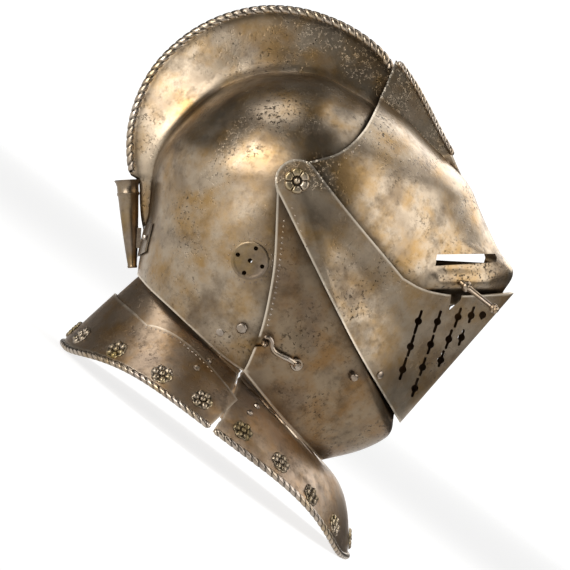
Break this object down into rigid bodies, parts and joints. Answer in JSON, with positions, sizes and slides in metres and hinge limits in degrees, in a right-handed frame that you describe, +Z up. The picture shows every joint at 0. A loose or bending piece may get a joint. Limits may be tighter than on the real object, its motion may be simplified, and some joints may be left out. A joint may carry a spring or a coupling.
{
  "type": "close helmet",
  "caption": "Close helmet with a corded comb, lifting visor and pierced ventail, chin bevor with hook, plume holder and a flared two-part gorget edged with rosettes.",
  "frame": {"origin": "middle of the bounding box, on the surface that the rim stands on", "axes": "+X to the front of the face, +Y to the wearer's left, +Z up with the helmet standing on its rim"},
  "size_m": [0.3364, 0.2344, 0.3192],
  "materials": {
    "plate_steel": "aged steel plate with brown patina",
    "gorget_steel": "aged steel plate with brown patina",
    "rivet_steel": "worn steel",
    "brass": "dulled brass"
  },
  "bodies": {
    "skull_body": {"skull": "plate_steel", "rear_gorget": "gorget_steel", "nape_lame": "gorget_steel", "rear_rosette_a_right": "brass", "rear_rosette_a_left": "brass", "rear_rosette_b_right": "brass", "rear_rosette_b_left": "brass", "rear_rosette_c_right": "brass", "rear_rosette_c_left": "brass", "rear_rosette_d_right": "brass", "rear_rosette_d_left": "brass", "rear_rosette_middle": "brass", "rear_rivet_upper_right": "rivet_steel", "rear_rivet_upper_left": "rivet_steel", "rear_rivet_lower_right": "rivet_steel", "rear_rivet_lower_left": "rivet_steel", "pivot_right": "brass", "pivot_left": "brass", "ear_disc_right": "brass", "ear_disc_left": "brass", "skull_stud": "rivet_steel", "catch_stud": "rivet_steel", "plume_holder": "plate_steel", "plume_rivet_right": "rivet_steel", "plume_rivet_left": "rivet_steel"},
    "bevor_body": {"bevor": "plate_steel", "bevor_stud": "rivet_steel", "hook_rivet": "rivet_steel", "front_gorget": "gorget_steel", "front_rosette_a_right": "brass", "front_rosette_a_left": "brass", "front_rosette_b_right": "brass", "front_rosette_b_left": "brass", "front_rosette_c_right": "brass", "front_rosette_c_left": "brass", "front_rosette_d_right": "brass", "front_rosette_d_left": "brass", "front_rosette_middle": "brass", "front_rivet_upper_right": "rivet_steel", "front_rivet_upper_left": "rivet_steel", "front_rivet_lower_right": "rivet_steel", "front_rivet_lower_left": "rivet_steel"},
    "ventail_body": {"ventail": "plate_steel", "ventail_rivet": "rivet_steel"},
    "visor_body": {"visor": "plate_steel", "lifting_peg": "rivet_steel"},
    "hook_body": {"hook": "rivet_steel"}
  },
  "joints": [
    {"name": "bevor_lift", "type": "hinge", "parent": "skull_body", "child": "bevor_body", "pos_m": [-0.02918, 0, 0.19823], "axis": [0, -1, 0], "range_deg": [0, 12]},
    {"name": "ventail_lift", "type": "hinge", "parent": "bevor_body", "child": "ventail_body", "pos_m": [-0.02918, 0, 0.19823], "axis": [0, -1, 0], "range_deg": [0, 12]},
    {"name": "visor_lift", "type": "hinge", "parent": "ventail_body", "child": "visor_body", "pos_m": [-0.02918, 0, 0.19823], "axis": [0, -1, 0], "range_deg": [0, 18]},
    {"name": "hook_turn", "type": "hinge", "parent": "bevor_body", "child": "hook_body", "pos_m": [0.04809, -0.07702, 0.09469], "axis": [-0.3821, 0.9107, 0.1572], "range_deg": [0, 50]}
  ]
}
